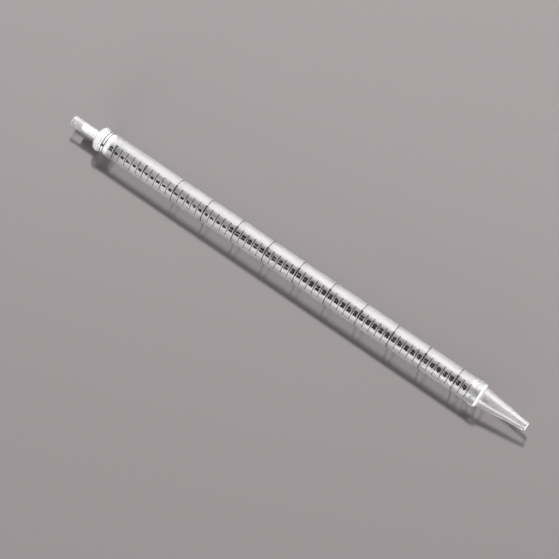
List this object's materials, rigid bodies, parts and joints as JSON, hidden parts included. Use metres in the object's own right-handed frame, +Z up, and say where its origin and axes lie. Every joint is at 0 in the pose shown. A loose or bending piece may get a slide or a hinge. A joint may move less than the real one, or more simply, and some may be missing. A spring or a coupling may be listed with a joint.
{
  "type": "serological pipette",
  "caption": "Clear plastic serological pipette with a printed millilitre scale, a tapered tip and a narrow mouthpiece holding a filter plug.",
  "frame": {"origin": "on the surface the pipette lies on, under the middle of its length", "axes": "+X along the pipette from its mouth to its tip, +Z up"},
  "size_m": [0.3792, 0.0182, 0.0183],
  "materials": {
    "barrel_polystyrene": "clear, smooth, glossy",
    "moulded_polystyrene": "clear, glossy, slightly frosted at the welds",
    "filter_fibre": "matt white fibre"
  },
  "bodies": {
    "root": {"barrel": "barrel_polystyrene", "tip": "moulded_polystyrene", "mouthpiece": "moulded_polystyrene", "filter_plug": "filter_fibre"}
  },
  "joints": []
}
